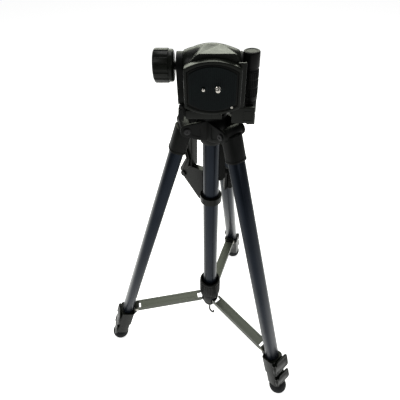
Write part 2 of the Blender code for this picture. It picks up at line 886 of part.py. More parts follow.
def make_platform(tilting):
    """The plate's tray, with the lever that lets the plate go."""
    tray = upright(
        "platform", [about_tilt(plate_outline(0.0))], RIM_FRONT, PLATFORM_BACK
    )
    recess = upright("recess", [about_tilt(plate_outline(3.4))], RIM_FRONT - 5, -39.0)
    ledge = box("ledge", (-32.0, -42.0, -49.5), (12.0, PLATFORM_BACK, -38.0))
    arm = box("arm", (24.0, -38.5, -57.0), (51.5, PLATFORM_BACK, -36.0))
    web = box("web", (28.0, -38.1, -44.0), (38.5, PLATFORM_BACK - 0.2, 17.0))
    ear = box("ear", (-38.8, -37.7, -48.8), (-28.0, PLATFORM_BACK - 0.2, -29.0))
    lever_at = (-36.6, -40.0, -34.0)
    pin = rod("pin", RELEASE_PIN, (-36.6, -43.8, -34.0), (-36.6, -36.0, -34.0), sides=12)
    assemble(
        tray,
        "satin plastic",
        tilting,
        joined=[ledge, arm, web, ear, pin],
        cuts=[recess],
    )
    turning = pivot("release_axis", lever_at, tilting)
    outline = [
        *arc((0, 0), 3.2, 0, 180, 5),
        (-3.8, -8.0),
        (-3.8, -16.0),
        (2.4, -16.0),
        (3.0, -8.0),
    ]
    lever = upright("release_lever", [outline], -4.6, 1.9)
    bore = rod("bore", RELEASE_PIN + GAP, (0, -8, 0), (0, 8, 0), sides=12)
    assemble(lever, "black plastic", turning, cuts=[bore])


def make_plate(tilting):
    """The quick-release plate with its pad, camera screw and video pin."""
    release = pivot("plate_release", (0, 0, 0), tilting)
    screw_z = SCREW_HEIGHT - TILT_HEIGHT
    plate = upright(
        "quick_release_plate", [about_tilt(plate_outline(3.8))], -44.9, -39.3
    )
    screw_line = (SCREW_X, -60.0, screw_z), (SCREW_X, -30.0, screw_z)
    pin_line = (PIN_X, -60.0, screw_z), (PIN_X, -30.0, screw_z)
    head_room = (SCREW_X, -41.9, screw_z), (SCREW_X, -38.0, screw_z)
    assemble(
        plate,
        "black plastic",
        release,
        cuts=[
            rod("hole", CAMERA_SCREW + GAP, *screw_line, sides=16),
            rod("hole", VIDEO_PIN + GAP, *pin_line, sides=12),
            rod("head room", 7.5, *head_room, sides=14),
        ],
    )
    pad = upright("plate_pad", [about_tilt(plate_outline(6.0))], PAD_FRONT, -45.2)
    assemble(
        pad,
        "black rubber",
        release,
        cuts=[
            rod("hole", CAMERA_SCREW + GAP, *screw_line, sides=16),
            rod("hole", VIDEO_PIN + GAP, *pin_line, sides=12),
        ],
    )
    screw_turn = pivot("screw_axis", (SCREW_X, -41.6, screw_z), release, turn=UPRIGHT)
    profile = [(0, 11.4), (2.4, 11.4), (CAMERA_SCREW, 10.4), (CAMERA_SCREW, 0), (7.0, 0)]
    profile += [(7.0, -2.0), (0, -2.0)]
    screw = turned("camera_screw", profile, sides=14)
    finish(screw, "bright steel", screw_turn)
    pin_slide = pivot("pin_slide", (PIN_X, -43.2, screw_z), release, turn=UPRIGHT)
    profile = [(0, 7.6), (1.2, 7.6), (VIDEO_PIN, 6.6), (VIDEO_PIN, 0), (0, 0)]
    finish(turned("video_pin", profile, sides=14), "bright steel", pin_slide)


def make_pan_handle(tilting):
    """The upright handle: a bracket and core rod, and the twist grip on it."""
    lean = Matrix.Rotation(math.radians(-HANDLE_LEAN), 4, "Y")
    axis = pivot("grip_axis", (HANDLE_X, 0.0, -21.0), tilting, turn=lean)
    collar = rod("pan_handle", 9.6, (0, 0, -40.4), (0, 0, -22.0), sides=18)
    core = rod("core", GRIP_CORE, (0, 0, -30.0), (0, 0, 32.0), sides=16)
    bracket = box("bracket", (-5.0, -33.8, -40.4), (5.4, -4.0, -25.5))
    assemble(collar, "black plastic", axis, joined=[core, bracket])
    turning = pivot("grip_turn", (0, 0, 0), axis)
    profile = [
        (0.0, 39.0),
        (8.2, 39.0),
        (HANDLE_RADIUS, 37.0),
        (HANDLE_RADIUS, 20.0),
        (HANDLE_RADIUS - 0.8, 19.0),
        (HANDLE_RADIUS - 0.8, 17.0),
        (HANDLE_RADIUS, 16.0),
        (9.6, -21.7),
        (GRIP_CORE + GAP, -21.7),
        (GRIP_CORE + GAP, 32.4),
        (0.0, 32.4),
    ]
    finish(turned("handle_grip", profile, sides=18), "black plastic", turning)


def make_tilt_knob(tilting):
    turning = pivot("tilt_knob_axis", (-46.0, 0, 0), tilting)
    profile = [
        (0.0, 0.0),
        (16.0, 0.0),
        (18.5, -1.2),
        (19.2, -4.0),
        (KNOB_RADIUS, -5.0),
        (KNOB_RADIUS, -23.0),
        (18.4, -25.0),
        (0.0, -25.0),
    ]
    along_x = Matrix.Rotation(math.radians(90), 4, "Y")
    knob = turned("tilt_knob", profile, sides=22, place=along_x)
    socket = rod("socket", TILT_AXLE + GAP, (-3.3, 0, 0), (5.0, 0, 0), sides=14)
    assemble(knob, "satin plastic", turning, cuts=[socket])


def make_head(column):
    panning = make_pan_base(column)
    tilting = pivot("tilt_axis", (0, 0, TILT_HEIGHT), panning)
    make_tilt_body(tilting)
    make_platform(tilting)
    make_plate(tilting)
    make_pan_handle(tilting)
    make_tilt_knob(tilting)


make_spider()
make_centre_tube()
make_end_plug()
make_weight_hook()
column_slide = make_column()
make_crank()
make_carry_handle()
make_brace_hub()
for leg_side, leg_azimuth in LEG_AZIMUTHS.items():
    make_leg(leg_side, leg_azimuth)
make_head(column_slide)
bpy.context.view_layer.update()
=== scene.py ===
"""The looks of the tripod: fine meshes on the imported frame, finishes, floor, light and camera.

Helpers take millimetres and MM turns them into metres. The frame's own places
are used throughout: the origin is on the floor under the centre tube, +Z is up.
"""

import json
import math

import bmesh
import bpy
from mathutils import Matrix, Vector


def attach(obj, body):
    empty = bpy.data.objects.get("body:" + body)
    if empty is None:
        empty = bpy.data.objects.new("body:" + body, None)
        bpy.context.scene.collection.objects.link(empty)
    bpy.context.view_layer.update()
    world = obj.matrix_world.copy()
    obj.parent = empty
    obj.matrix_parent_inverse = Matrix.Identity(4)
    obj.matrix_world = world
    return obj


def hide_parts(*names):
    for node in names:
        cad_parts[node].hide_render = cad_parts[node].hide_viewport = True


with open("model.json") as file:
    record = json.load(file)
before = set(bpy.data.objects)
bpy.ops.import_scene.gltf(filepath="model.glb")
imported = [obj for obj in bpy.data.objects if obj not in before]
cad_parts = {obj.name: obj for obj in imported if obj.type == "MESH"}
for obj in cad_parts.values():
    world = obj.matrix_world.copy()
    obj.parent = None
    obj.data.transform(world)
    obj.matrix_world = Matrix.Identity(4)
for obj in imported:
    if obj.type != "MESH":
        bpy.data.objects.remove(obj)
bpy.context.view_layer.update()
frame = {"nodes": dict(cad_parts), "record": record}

MM = 0.001
TILT_HEIGHT = 583.0
UPRIGHT = Matrix.Rotation(math.radians(90), 4, "X")
ALONG_X = Matrix.Rotation(math.radians(90), 4, "Y")
SIDEWAYS = Matrix(((0, 0, 1, 0), (1, 0, 0, 0), (0, 1, 0, 0), (0, 0, 0, 1)))
LEG_AZIMUTHS = {"right": -47.6, "rear": 72.4, "left": 192.4}
SPLAY = 18.33
HINGE_RADIUS = 37.0
HINGE_HEIGHT = 506.7
BALL_CENTRE = 517.3
BALL_RADIUS = 16.2
UPPER_OVAL = (19.9, 23.6)
MIDDLE_OVAL = (16.5, 20.2)
LOWER_OVAL = (13.3, 17.0)
WALL = 1.2
INNER_WALL = WALL - 0.2
SOCKET_GAP = 0.3
CRANK_AZIMUTH = 12.4
CARRY_AZIMUTH = 140.0
HOOK_AZIMUTH = -42.0
PLATE_MIDDLE = 0.5
SCREW_X = 6.7
SCREW_BORE = 3.475
PIN_X = -9.8
PIN_BORE = 2.3
SCREW_HEIGHT = 574.0
PAD_HEIGHT = 573.0
HANDLE_LEAN = -1.36
HINGE_BORE = 2.8
WELD_METRES = 0.000002
FLAT_DEGREES = 0.5
OVAL_STEPS = 64
OVAL_POWER = 2.7
BODY_OF = {
    node: body
    for body, nodes in frame["record"]["behaviour"]["bodies"].items()
    for node in nodes
}
SLOT_OF = {part["node"]: part["material_slot"] for part in frame["record"]["subparts"]}


# ------------------------------------------------------------------- finishes


class Finish:
    """A Principled material, built up from noise in object coordinates."""

    def __init__(self, name, metallic=0.0, specular=0.5):
        self.made = bpy.data.materials.new(name)
        self.made.use_nodes = True
        self.tree = self.made.node_tree
        self.shader = self.tree.nodes["Principled BSDF"]
        self.shader.inputs["Metallic"].default_value = metallic
        self.shader.inputs["Specular IOR Level"].default_value = specular
        self.coords = self.tree.nodes.new("ShaderNodeTexCoord")
        self.height = None

    def link(self, out, into):
        self.tree.links.new(out, into)

    def mapped(self, stretch):
        mapping = self.tree.nodes.new("ShaderNodeMapping")
        mapping.inputs["Scale"].default_value = stretch
        self.link(self.coords.outputs["Object"], mapping.inputs["Vector"])
        return mapping.outputs["Vector"]

    def noise(self, scale, detail=4.0, stretch=(1.0, 1.0, 1.0), rough=0.55):
        node = self.tree.nodes.new("ShaderNodeTexNoise")
        node.inputs["Scale"].default_value = scale
        node.inputs["Detail"].default_value = detail
        node.inputs["Roughness"].default_value = rough
        self.link(self.mapped(stretch), node.inputs["Vector"])
        return node.outputs["Fac"]

    def cells(self, scale):
        node = self.tree.nodes.new("ShaderNodeTexVoronoi")
        node.inputs["Scale"].default_value = scale
        self.link(self.mapped((1.0, 1.0, 1.0)), node.inputs["Vector"])
        return node.outputs["Distance"]

    def ramp(self, value, low, high, colours):
        node = self.tree.nodes.new("ShaderNodeValToRGB")
        node.color_ramp.elements[0].position = low
        node.color_ramp.elements[1].position = high
        for element, colour in zip(node.color_ramp.elements, colours):
            element.color = (*colour, 1.0)
        self.link(value, node.inputs["Fac"])
        return node.outputs["Color"]

    def scaled(self, value, low, high, first=0.3, last=0.7):
        node = self.tree.nodes.new("ShaderNodeMapRange")
        node.inputs["From Min"].default_value = first
        node.inputs["From Max"].default_value = last
        node.inputs["To Min"].default_value = low
        node.inputs["To Max"].default_value = high
        self.link(value, node.inputs["Value"])
        return node.outputs["Result"]

    def mixed(self, factor, under, over):
        node = self.tree.nodes.new("ShaderNodeMix")
        node.data_type = "RGBA"
        self.link(factor, node.inputs["Factor"])
        self.link(under, node.inputs["A"])
        self.link(over, node.inputs["B"])
        return node.outputs["Result"]

    def bump(self, value, strength, distance):
        """Adds one more layer of relief, in metres of height."""
        node = self.tree.nodes.new("ShaderNodeBump")
        node.inputs["Strength"].default_value = strength
        node.inputs["Distance"].default_value = distance
        self.link(value, node.inputs["Height"])
        if self.height is not None:
            self.link(self.height, node.inputs["Normal"])
        self.height = node.outputs["Normal"]

    def done(self, colour, roughness):
        self.link(colour, self.shader.inputs["Base Color"])
        self.link(roughness, self.shader.inputs["Roughness"])
        if self.height is not None:
            self.link(self.height, self.shader.inputs["Normal"])
        return self.made


def black_plastic():
    """Fine spark-eroded mould texture, with a slightly greyer bloom in patches."""
    look = Finish("black_plastic", specular=0.08)
    bloom = look.noise(38.0, 5.0)
    grain = look.cells(2600.0)
    look.bump(grain, 0.16, 0.00005)
    look.bump(look.noise(420.0, 3.0), 0.08, 0.00006)
    colour = look.ramp(bloom, 0.35, 0.7, [(0.0028, 0.0032, 0.003), (0.0062, 0.0068, 0.006)])
    return look.done(colour, look.scaled(bloom, 0.36, 0.5))


def satin_plastic():
    """Smoother grey-black moulding, with soft handling marks."""
    look = Finish("satin_plastic", specular=0.11)
    cloud = look.noise(30.0, 6.0)
    marks = look.noise(160.0, 8.0, (1.0, 1.0, 0.25), 0.7)
    look.bump(look.cells(3200.0), 0.12, 0.00004)
    look.bump(look.noise(260.0, 2.0), 0.06, 0.00008)
    base = look.ramp(cloud, 0.35, 0.7, [(0.0042, 0.005, 0.0038), (0.0078, 0.009, 0.0068)])
    worn = look.ramp(marks, 0.6, 0.74, [(0.0, 0.0, 0.0), (0.14, 0.14, 0.14)])
    lighter = look.ramp(cloud, 0.2, 0.9, [(0.022, 0.023, 0.019), (0.03, 0.032, 0.026)])
    return look.done(look.mixed(worn, base, lighter), look.scaled(marks, 0.24, 0.36))


def tube():
    """Blue-black anodised aluminium, drawn lengthwise."""
    look = Finish("tube", metallic=0.6, specular=0.2)
    drawn = look.noise(900.0, 3.0, (1.0, 1.0, 0.012))
    cloud = look.noise(14.0, 4.0)
    look.bump(drawn, 0.1, 0.00003)
    colour = look.ramp(cloud, 0.3, 0.7, [(0.0055, 0.0085, 0.0135), (0.009, 0.013, 0.02)])
    return look.done(colour, look.scaled(drawn, 0.24, 0.36))


def channel():
    """Olive-grey stove enamel on folded sheet, with faint orange peel."""
    look = Finish("channel", metallic=0.2, specular=0.35)
    cloud = look.noise(24.0, 5.0)
    look.bump(look.noise(700.0, 2.0), 0.14, 0.00006)
    base = look.ramp(cloud, 0.3, 0.7, [(0.05, 0.056, 0.041), (0.075, 0.082, 0.062)])
    rub = look.ramp(look.noise(210.0, 9.0), 0.66, 0.74, [(0.0,) * 3, (0.5,) * 3])
    bare = look.ramp(cloud, 0.2, 0.8, [(0.1, 0.105, 0.085), (0.13, 0.135, 0.115)])
    return look.done(look.mixed(rub, base, bare), look.scaled(cloud, 0.36, 0.46))


def steel():
    """Bright plating with fine turning marks."""
    look = Finish("bright_steel", metallic=1.0)
    fine = look.noise(2400.0, 2.0)
    cloud = look.noise(120.0, 4.0)
    look.bump(fine, 0.08, 0.00002)
    colour = look.ramp(cloud, 0.3, 0.75, [(0.42, 0.4, 0.36), (0.56, 0.54, 0.5)])
    return look.done(colour, look.scaled(cloud, 0.14, 0.26))


def dark_steel():
    """Black-coated steel, thin on its high spots."""
    look = Finish("dark_steel", metallic=0.3, specular=0.25)
    cloud = look.noise(90.0, 6.0)
    look.bump(look.noise(1500.0, 2.0), 0.12, 0.00004)
    colour = look.ramp(cloud, 0.45, 0.8, [(0.008, 0.008, 0.0085), (0.03, 0.03, 0.03)])
    return look.done(colour, look.scaled(cloud, 0.3, 0.42))


def rubber():
    """Moulded black rubber, matt and slightly dusty."""
    look = Finish("rubber", specular=0.1)
    dust = look.noise(55.0, 7.0, rough=0.65)
    look.bump(look.cells(1900.0), 0.25, 0.00007)
    colour = look.ramp(dust, 0.4, 0.75, [(0.012, 0.0135, 0.0145), (0.03, 0.032, 0.033)])
    return look.done(colour, look.scaled(dust, 0.6, 0.78))


def pad_rubber():
    """The plate's facing: dense rubber with a faint blue-green cast."""
    look = Finish("pad_rubber", specular=0.08)
    dust = look.noise(70.0, 5.0)
    look.bump(look.cells(2200.0), 0.2, 0.00006)
    colour = look.ramp(dust, 0.4, 0.75, [(0.0022, 0.004, 0.0044), (0.0045, 0.0075, 0.0075)])
    return look.done(colour, look.scaled(dust, 0.5, 0.65))


FINISHES = {
    "black_plastic": black_plastic(),
    "satin_plastic": satin_plastic(),
    "tube": tube(),
    "channel": channel(),
    "bright_steel": steel(),
    "dark_steel": dark_steel(),
    "rubber": rubber(),
    "pad": pad_rubber(),
}


# -------------------------------------------------------------- shape helpers


def keep(name, shape):
    """Turns a finished bmesh into an object in the scene."""
    mesh = bpy.data.meshes.new(name)
    shape.to_mesh(mesh)
    shape.free()
    obj = bpy.data.objects.new(name, mesh)
    bpy.context.scene.collection.objects.link(obj)
    return obj


def settled(obj, place=None):
    """Swaps an object for the mesh it evaluates to, welded and moved by place."""
    bpy.context.view_layer.update()
    graph = bpy.context.evaluated_depsgraph_get()
    mesh = bpy.data.meshes.new_from_object(obj.evaluated_get(graph))
    shape = bmesh.new()
    shape.from_mesh(mesh)
    bmesh.ops.remove_doubles(shape, verts=shape.verts, dist=WELD_METRES)
    if place is not None:
        shape.transform(place)
    name = obj.name
    bpy.data.objects.remove(obj)
    bpy.data.meshes.remove(mesh)
    return keep(name, shape)


def box(name, low, high):
    low, high = Vector(low) * MM, Vector(high) * MM
    place = Matrix.Translation((low + high) / 2) @ Matrix.Diagonal((*(high - low), 1.0))
    shape = bmesh.new()
    bmesh.ops.create_cube(shape, size=1.0, matrix=place)
    return keep(name, shape)


def rod(name, radius, start, end, sides=48):
    """A round bar between two points."""
    start, end = Vector(start) * MM, Vector(end) * MM
    along = end - start
    turn = along.to_track_quat("Z", "Y").to_matrix().to_4x4()
    shape = bmesh.new()
    bmesh.ops.create_cone(
        shape,
        cap_ends=True,
        segments=sides,
        radius1=radius * MM,
        radius2=radius * MM,
        depth=along.length,
        matrix=Matrix.Translation((start + end) / 2) @ turn,
    )
    return keep(name, shape)


def lathe(name, profile, closed=False, sides=72, place=None, ribs=0, flat=0.35):
    """A turned solid. A profile point is (radius, height) or, where raised bars
    run along it, (radius, height, how far a bar stands up)."""
    shape = bmesh.new()
    rings = []
    for point in profile:
        radius, height = point[:2]
        rise = point[2] if len(point) > 2 else 0.0
        if radius == 0.0:
            rings.append([shape.verts.new((0.0, 0.0, height * MM))])
            continue
        ring = []
        for step in range(sides):
            angle = 2 * math.pi * step / sides
            wave = math.cos(ribs * angle) - flat
            bar = min(1.0, max(0.0, wave / 0.35)) if ribs else 0.0
            out = (radius + rise * bar) * MM
            ring.append(
                shape.verts.new((out * math.cos(angle), out * math.sin(angle), height * MM))
            )
        rings.append(ring)
    pairs = list(zip(rings, rings[1:]))
    if closed:
        pairs.append((rings[-1], rings[0]))
    for upper, lower in pairs:
        for step in range(sides):
            after = (step + 1) % sides
            corners = [upper[step % len(upper)], lower[step % len(lower)]]
            corners += [lower[after % len(lower)], upper[after % len(upper)]]
            corners = list(dict.fromkeys(corners))
            if len(corners) > 2:
                shape.faces.new(corners)
    bmesh.ops.recalc_face_normals(shape, faces=shape.faces)
    if place is not None:
        shape.transform(place)
    return keep(name, shape)


def prism(name, outlines, low, high, plane=None):
    """Flat outlines, the second and later ones as holes, filled from low to high."""
    curve = bpy.data.curves.new(name, "CURVE")
    curve.dimensions = "2D"
    curve.fill_mode = "BOTH"
    curve.extrude = (high - low) / 2 * MM
    for outline in outlines:
        spline = curve.splines.new("POLY")
        spline.points.add(len(outline) - 1)
        for point, (across, up) in zip(spline.points, outline):
            point.co = (across * MM, up * MM, 0.0, 1.0)
        spline.use_cyclic_u = True
    obj = bpy.data.objects.new(name, curve)
    bpy.context.scene.collection.objects.link(obj)
    middle = Matrix.Translation((0.0, 0.0, (low + high) / 2 * MM))
    solid = settled(obj, (plane or Matrix()) @ middle)
    flatten(solid)
    return solid


def flatten(obj):
    """Joins coplanar triangles into whole faces, so that edges bevel evenly."""
    shape = bmesh.new()
    shape.from_mesh(obj.data)
    bmesh.ops.dissolve_limit(
        shape,
        angle_limit=math.radians(FLAT_DEGREES),
        verts=shape.verts,
        edges=shape.edges,
    )
    shape.to_mesh(obj.data)
    shape.free()


def upright(name, outlines, near, far):
    """Outlines of (x, z), filled from y = near to y = far."""
    return prism(name, outlines, -far, -near, UPRIGHT)


def sideways(name, outlines, near, far):
    """Outlines of (y, z), filled from x = near to x = far."""
    return prism(name, outlines, near, far, SIDEWAYS)


def hull(name, points):
    """The convex solid round some points."""
    shape = bmesh.new()
    for point in points:
        shape.verts.new(Vector(point) * MM)
    bmesh.ops.convex_hull(shape, input=shape.verts)
    bmesh.ops.dissolve_limit(
        shape, angle_limit=0.01, verts=shape.verts, edges=shape.edges
    )
    return keep(name, shape)


def wire(name, points, radius, resolution):
    """A round bar through some points."""
    curve = bpy.data.curves.new(name, "CURVE")
    curve.dimensions = "3D"
    curve.bevel_depth = radius * MM
    curve.bevel_resolution = resolution
    curve.use_fill_caps = True
    spline = curve.splines.new("POLY")
    spline.points.add(len(points) - 1)
    for point, place in zip(spline.points, points):
        point.co = (*(Vector(place) * MM), 1.0)
    obj = bpy.data.objects.new(name, curve)
    bpy.context.scene.collection.objects.link(obj)
    return settled(obj)


def shaped(base, joined=(), cuts=()):
    """The base with other shapes joined to it, then cut from it."""
    for tools, operation in ((joined, "UNION"), (cuts, "DIFFERENCE")):
        for tool in tools:
            step = base.modifiers.new(operation, "BOOLEAN")
            step.operation = operation
            step.solver = "EXACT"
            step.object = tool
    solid = settled(base)
    for tool in (*joined, *cuts):
        bpy.data.objects.remove(tool)
    return solid


def softened(obj, width, segments=3, angle=40.0):
    """A shape with its edges rounded, ready to be joined to others."""
    rounding = obj.modifiers.new("rounding", "BEVEL")
    rounding.width = width * MM
    rounding.segments = segments
    rounding.limit_method = "ANGLE"
    rounding.angle_limit = math.radians(angle)
    return settled(obj)


def arc(centre, radius, start, end, steps):
    """Points along an arc, its angles in degrees."""
    angles = [math.radians(start + (end - start) * i / steps) for i in range(steps + 1)]
    return [
        (centre[0] + radius * math.cos(a), centre[1] + radius * math.sin(a))
        for a in angles
    ]


def oval(size, grow=0.0):
    """The outline of a leg section: depth along x, width along y."""
    depth, width = size[0] / 2 + grow, size[1] / 2 + grow
    points = []
    for step in range(OVAL_STEPS):
        angle = 2 * math.pi * (step + 0.5) / OVAL_STEPS
        c, s = math.cos(angle), math.sin(angle)
        x = depth * math.copysign(abs(c) ** (2 / OVAL_POWER), c)
        y = width * math.copysign(abs(s) ** (2 / OVAL_POWER), s)
        points.append((x, y))
    return points


def rounded(low, high, radius, steps):
    """The outline of a rectangle with round corners."""
    (x0, y0), (x1, y1) = low, high
    corners = [
        ((x1 - radius, y1 - radius), 0),
        ((x0 + radius, y1 - radius), 90),
        ((x0 + radius, y0 + radius), 180),
        ((x1 - radius, y0 + radius), 270),
    ]
    return [p for c, a in corners for p in arc(c, radius, a, a + 90, steps)]


def around_z(degrees):
    return Matrix.Rotation(math.radians(degrees), 4, "Z")


def at(x, y, z):
    return Matrix.Translation(Vector((x, y, z)) * MM)


def piece(obj, node, place=None, rounding=0.4, look=None, stands_for=True, angle=35.0):
    """Finishes a visible piece: edges, shading, finish, and the body it rides on."""
    slot = SLOT_OF[node]
    obj.data.materials.clear()
    obj.data.materials.append(FINISHES[look or slot])
    obj.data.shade_smooth()
    obj.data.set_sharp_from_angle(angle=math.radians(angle))
    if rounding:
        bevel = obj.modifiers.new("edges", "BEVEL")
        bevel.width = rounding * MM
        bevel.segments = 3
        bevel.limit_method = "ANGLE"
        bevel.angle_limit = math.radians(angle)
        bevel.harden_normals = True
    if place is not None:
        obj.matrix_world = place
    if stands_for:
        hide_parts(node)
    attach(obj, BODY_OF[node])


def refined(node):
    """A welded copy of a CAD node, with rounded edges."""
    source = frame["nodes"][node]
    shape = bmesh.new()
    shape.from_mesh(source.data)
    bmesh.ops.remove_doubles(shape, verts=shape.verts, dist=WELD_METRES)
    obj = keep(f"{node}_fine", shape)
    for attribute in [a.name for a in obj.data.attributes if a.name == "custom_normal"]:
        obj.data.attributes.remove(obj.data.attributes[attribute])
    flatten(obj)
    piece(obj, node, rounding=0.5)


# ------------------------------------------------------------- fine geometry


def head_place(x=0.0, y=0.0, z=0.0):
    """A place given from the tilt axis."""
    return at(x, y, TILT_HEIGHT + z)


def leg_frame(side):
    """A leg's own frame: z up the leg, x away from the tripod's middle."""
    turn = around_z(LEG_AZIMUTHS[side])
    lean = Matrix.Rotation(math.radians(-SPLAY), 4, "Y")
    return turn @ at(HINGE_RADIUS, 0.0, HINGE_HEIGHT) @ lean


def crosshead(name, radius, depth, place, node):
    """A pan-head screw with a cross recess, its top along +Z of place."""
    crown = radius * 0.45
    angles = [math.radians(80 - 10 * i) for i in range(9)]
    dome = [(radius * math.cos(a), crown * math.sin(a)) for a in angles]
    profile = [(0.0, crown), *dome, (radius, -depth), (0.0, -depth)]
    head = lathe(name, profile, sides=32)
    long, half, floor = radius * 0.62, radius * 0.14, radius * 0.12
    slots = []
    for turn in (0.0, 90.0):
        arm = box("slot", (-long, -half, floor), (long, half, radius))
        arm.data.transform(around_z(turn))
        slots.append(arm)
    head = shaped(head, cuts=slots)
    piece(head, node, place, rounding=0.08, look="bright_steel", stands_for=False)


def make_tilt_knob():
    """A moulded knob with long raised bars and a smooth inner flange."""
    profile = [
        (0.0, 0.0), (15.2, 0.0), (17.4, -0.5), (18.6, -1.6), (19.0, -3.0), (19.0, -5.2),
        (18.7, -5.6), (18.7, -6.2, 0.0), (18.9, -6.8, 1.1), (18.9, -22.4, 1.1),
        (18.7, -23.6, 0.7), (18.2, -24.4), (17.2, -25.0), (14.6, -25.0), (14.2, -24.6),
        (14.0, -23.6), (4.6, -23.6), (4.2, -23.3), (3.6, -22.9), (0.0, -22.8),
    ]
    knob = lathe("tilt_knob_fine", profile, sides=288, place=ALONG_X, ribs=14, flat=-0.62)
    socket = rod("socket", 5.3, (-3.3, 0, 0), (5.0, 0, 0))
    knob = shaped(knob, cuts=[socket])
    piece(knob, "tilt_knob", head_place(x=-46.0), rounding=0.0)


def make_tilt_body():
    """The barrel on the axle, and the hopper that carries the plate's tray."""
    profile = [
        (0.0, 36.3), (4.6, 36.3), (5.0, 35.9), (5.0, 32.5), (17.0, 32.5), (18.0, 31.6),
        (19.9, 26.9), (21.5, 22.0), (23.4, 16.0), (24.6, 10.0), (25.4, 4.5), (25.6, -1.0),
        (25.4, -6.5), (24.6, -12.0), (23.3, -17.8), (21.5, -23.0), (20.0, -28.6),
        (18.2, -33.6), (17.2, -34.5), (5.0, -34.5), (5.0, -48.6), (4.6, -49.0), (0.0, -49.0),
    ]
    barrel = lathe("tilt_body_fine", profile, sides=96, place=ALONG_X)
    front = [
        (-32.0, 552.0), (-32.0, 594.0), (-17.0, 608.0), (27.5, 608.0),
        (33.0, 594.0), (33.0, 552.0), (26.0, 545.0), (-25.0, 545.0),
    ]
    back = [
        (-11.0, 608.0), (12.0, 608.0), (20.0, 592.0), (20.0, 566.0),
        (12.0, 561.0), (-11.0, 561.0), (-20.0, 566.0), (-20.0, 592.0),
    ]
    points = [(x, -34.0, z - TILT_HEIGHT) for x, z in front]
    points += [(x, 2.0, z - TILT_HEIGHT) for x, z in back]
    hopper = softened(hull("hopper", points), 1.6, 4, 12.0)
    lip = hull("lip", [
        (-14.8, -33.9, 25.0), (25.2, -33.9, 25.0), (-14.8, -31.4, 25.0), (25.2, -31.4, 25.0),
        (-14.8, -33.3, 25.55), (25.2, -33.3, 25.55), (-14.8, -32.0, 25.55), (25.2, -32.0, 25.55),
        (-14.8, -33.9, 23.0), (25.2, -33.9, 23.0), (-14.8, -31.4, 23.0), (25.2, -31.4, 23.0),
    ])
    body = shaped(barrel, joined=[hopper, lip])
    piece(body, "tilt_body", head_place(), rounding=0.0)


def plate_outline(inset):
    """The tray's outline, bowed at the top and the bottom, brought in by inset."""
    half, rise = 32.8 - inset, 8.5
    radius = (half**2 + rise**2) / (2 * rise)
    sweep = math.degrees(math.asin(half / radius))
    top = 604.5 - TILT_HEIGHT - inset - radius
    bottom = 541.5 - TILT_HEIGHT + inset + radius
    over = arc((PLATE_MIDDLE, top), radius, 90 - sweep, 90 + sweep, 40)
    under = arc((PLATE_MIDDLE, bottom), radius, 270 - sweep, 270 + sweep, 40)
    return over + under


def make_platform():
    """The tray with its rounded rim, the ledge, and the handle's arm."""
    tray = softened(upright("platform_fine", [plate_outline(0.0)], -46.0, -34.3), 1.3, 5)
    recess = softened(upright("recess", [plate_outline(3.4)], -51.0, -39.0), 0.5, 3)
    step = upright("step", [plate_outline(2.6)], -51.0, -45.2)
    ledge = softened(box("ledge", (-32.0, -42.0, -49.5), (12.0, -34.3, -38.0)), 0.9)
    arm = softened(box("arm", (24.0, -38.5, -57.0), (51.5, -34.5, -36.0)), 0.8)
    web = softened(box("web", (28.0, -38.1, -44.0), (38.5, -34.6, 17.0)), 1.0)
    ear = softened(box("ear", (-38.8, -37.7, -48.8), (-28.0, -34.5, -29.0)), 0.7)
    window = [(38.0, -53.0), (48.5, -53.0), (48.5, -40.0), (38.0, -40.0)]
    inner = [(38.8, -52.2), (47.7, -52.2), (47.7, -40.8), (38.8, -40.8)]
    frame_line = upright("frame_line", [window, inner], -39.0, -38.1)
    pin = rod("pin", 1.4, (-36.6, -43.8, -34.0), (-36.6, -36.0, -34.0))
    platform = shaped(
        tray, joined=[ledge, arm, web, ear, pin], cuts=[recess, step, frame_line]
    )
    piece(platform, "platform", head_place(), rounding=0.0)
    crosshead("arm_screw", 1.5, 1.2, head_place(23.2, -46.1, -31.6) @ UPRIGHT, "platform")


def plate_holes(z):
    """Cutters for the screw's hole and the pin's hole."""
    return [
        rod("hole", bore, (x, -60.0, z), (x, -30.0, z))
        for x, bore in ((SCREW_X, SCREW_BORE), (PIN_X, PIN_BORE))
    ]


def pad_grooves(z):
    """Outlines of the pad's fine upright grooves, kept clear of both holes."""
    middle = PAD_HEIGHT - TILT_HEIGHT
    outlines = []
    for step in range(25):
        x = PLATE_MIDDLE - 26.4 + 2.2 * step
        reach = 24.6 - 4.0 * ((x - PLATE_MIDDLE) / 26.4) ** 2
        room = max(
            math.sqrt(max(0.0, size**2 - (x - centre) ** 2))
            for centre, size in ((SCREW_X, 6.4), (PIN_X, 4.8))
        )
        spans = [(middle - reach, middle + reach)]
        if room > 0.0:
            spans = [(middle - reach, z - room), (z + room, middle + reach)]
        for low, high in spans:
            outlines.append(rounded((x - 0.45, low), (x + 0.45, high), 0.4, 3))
    return outlines


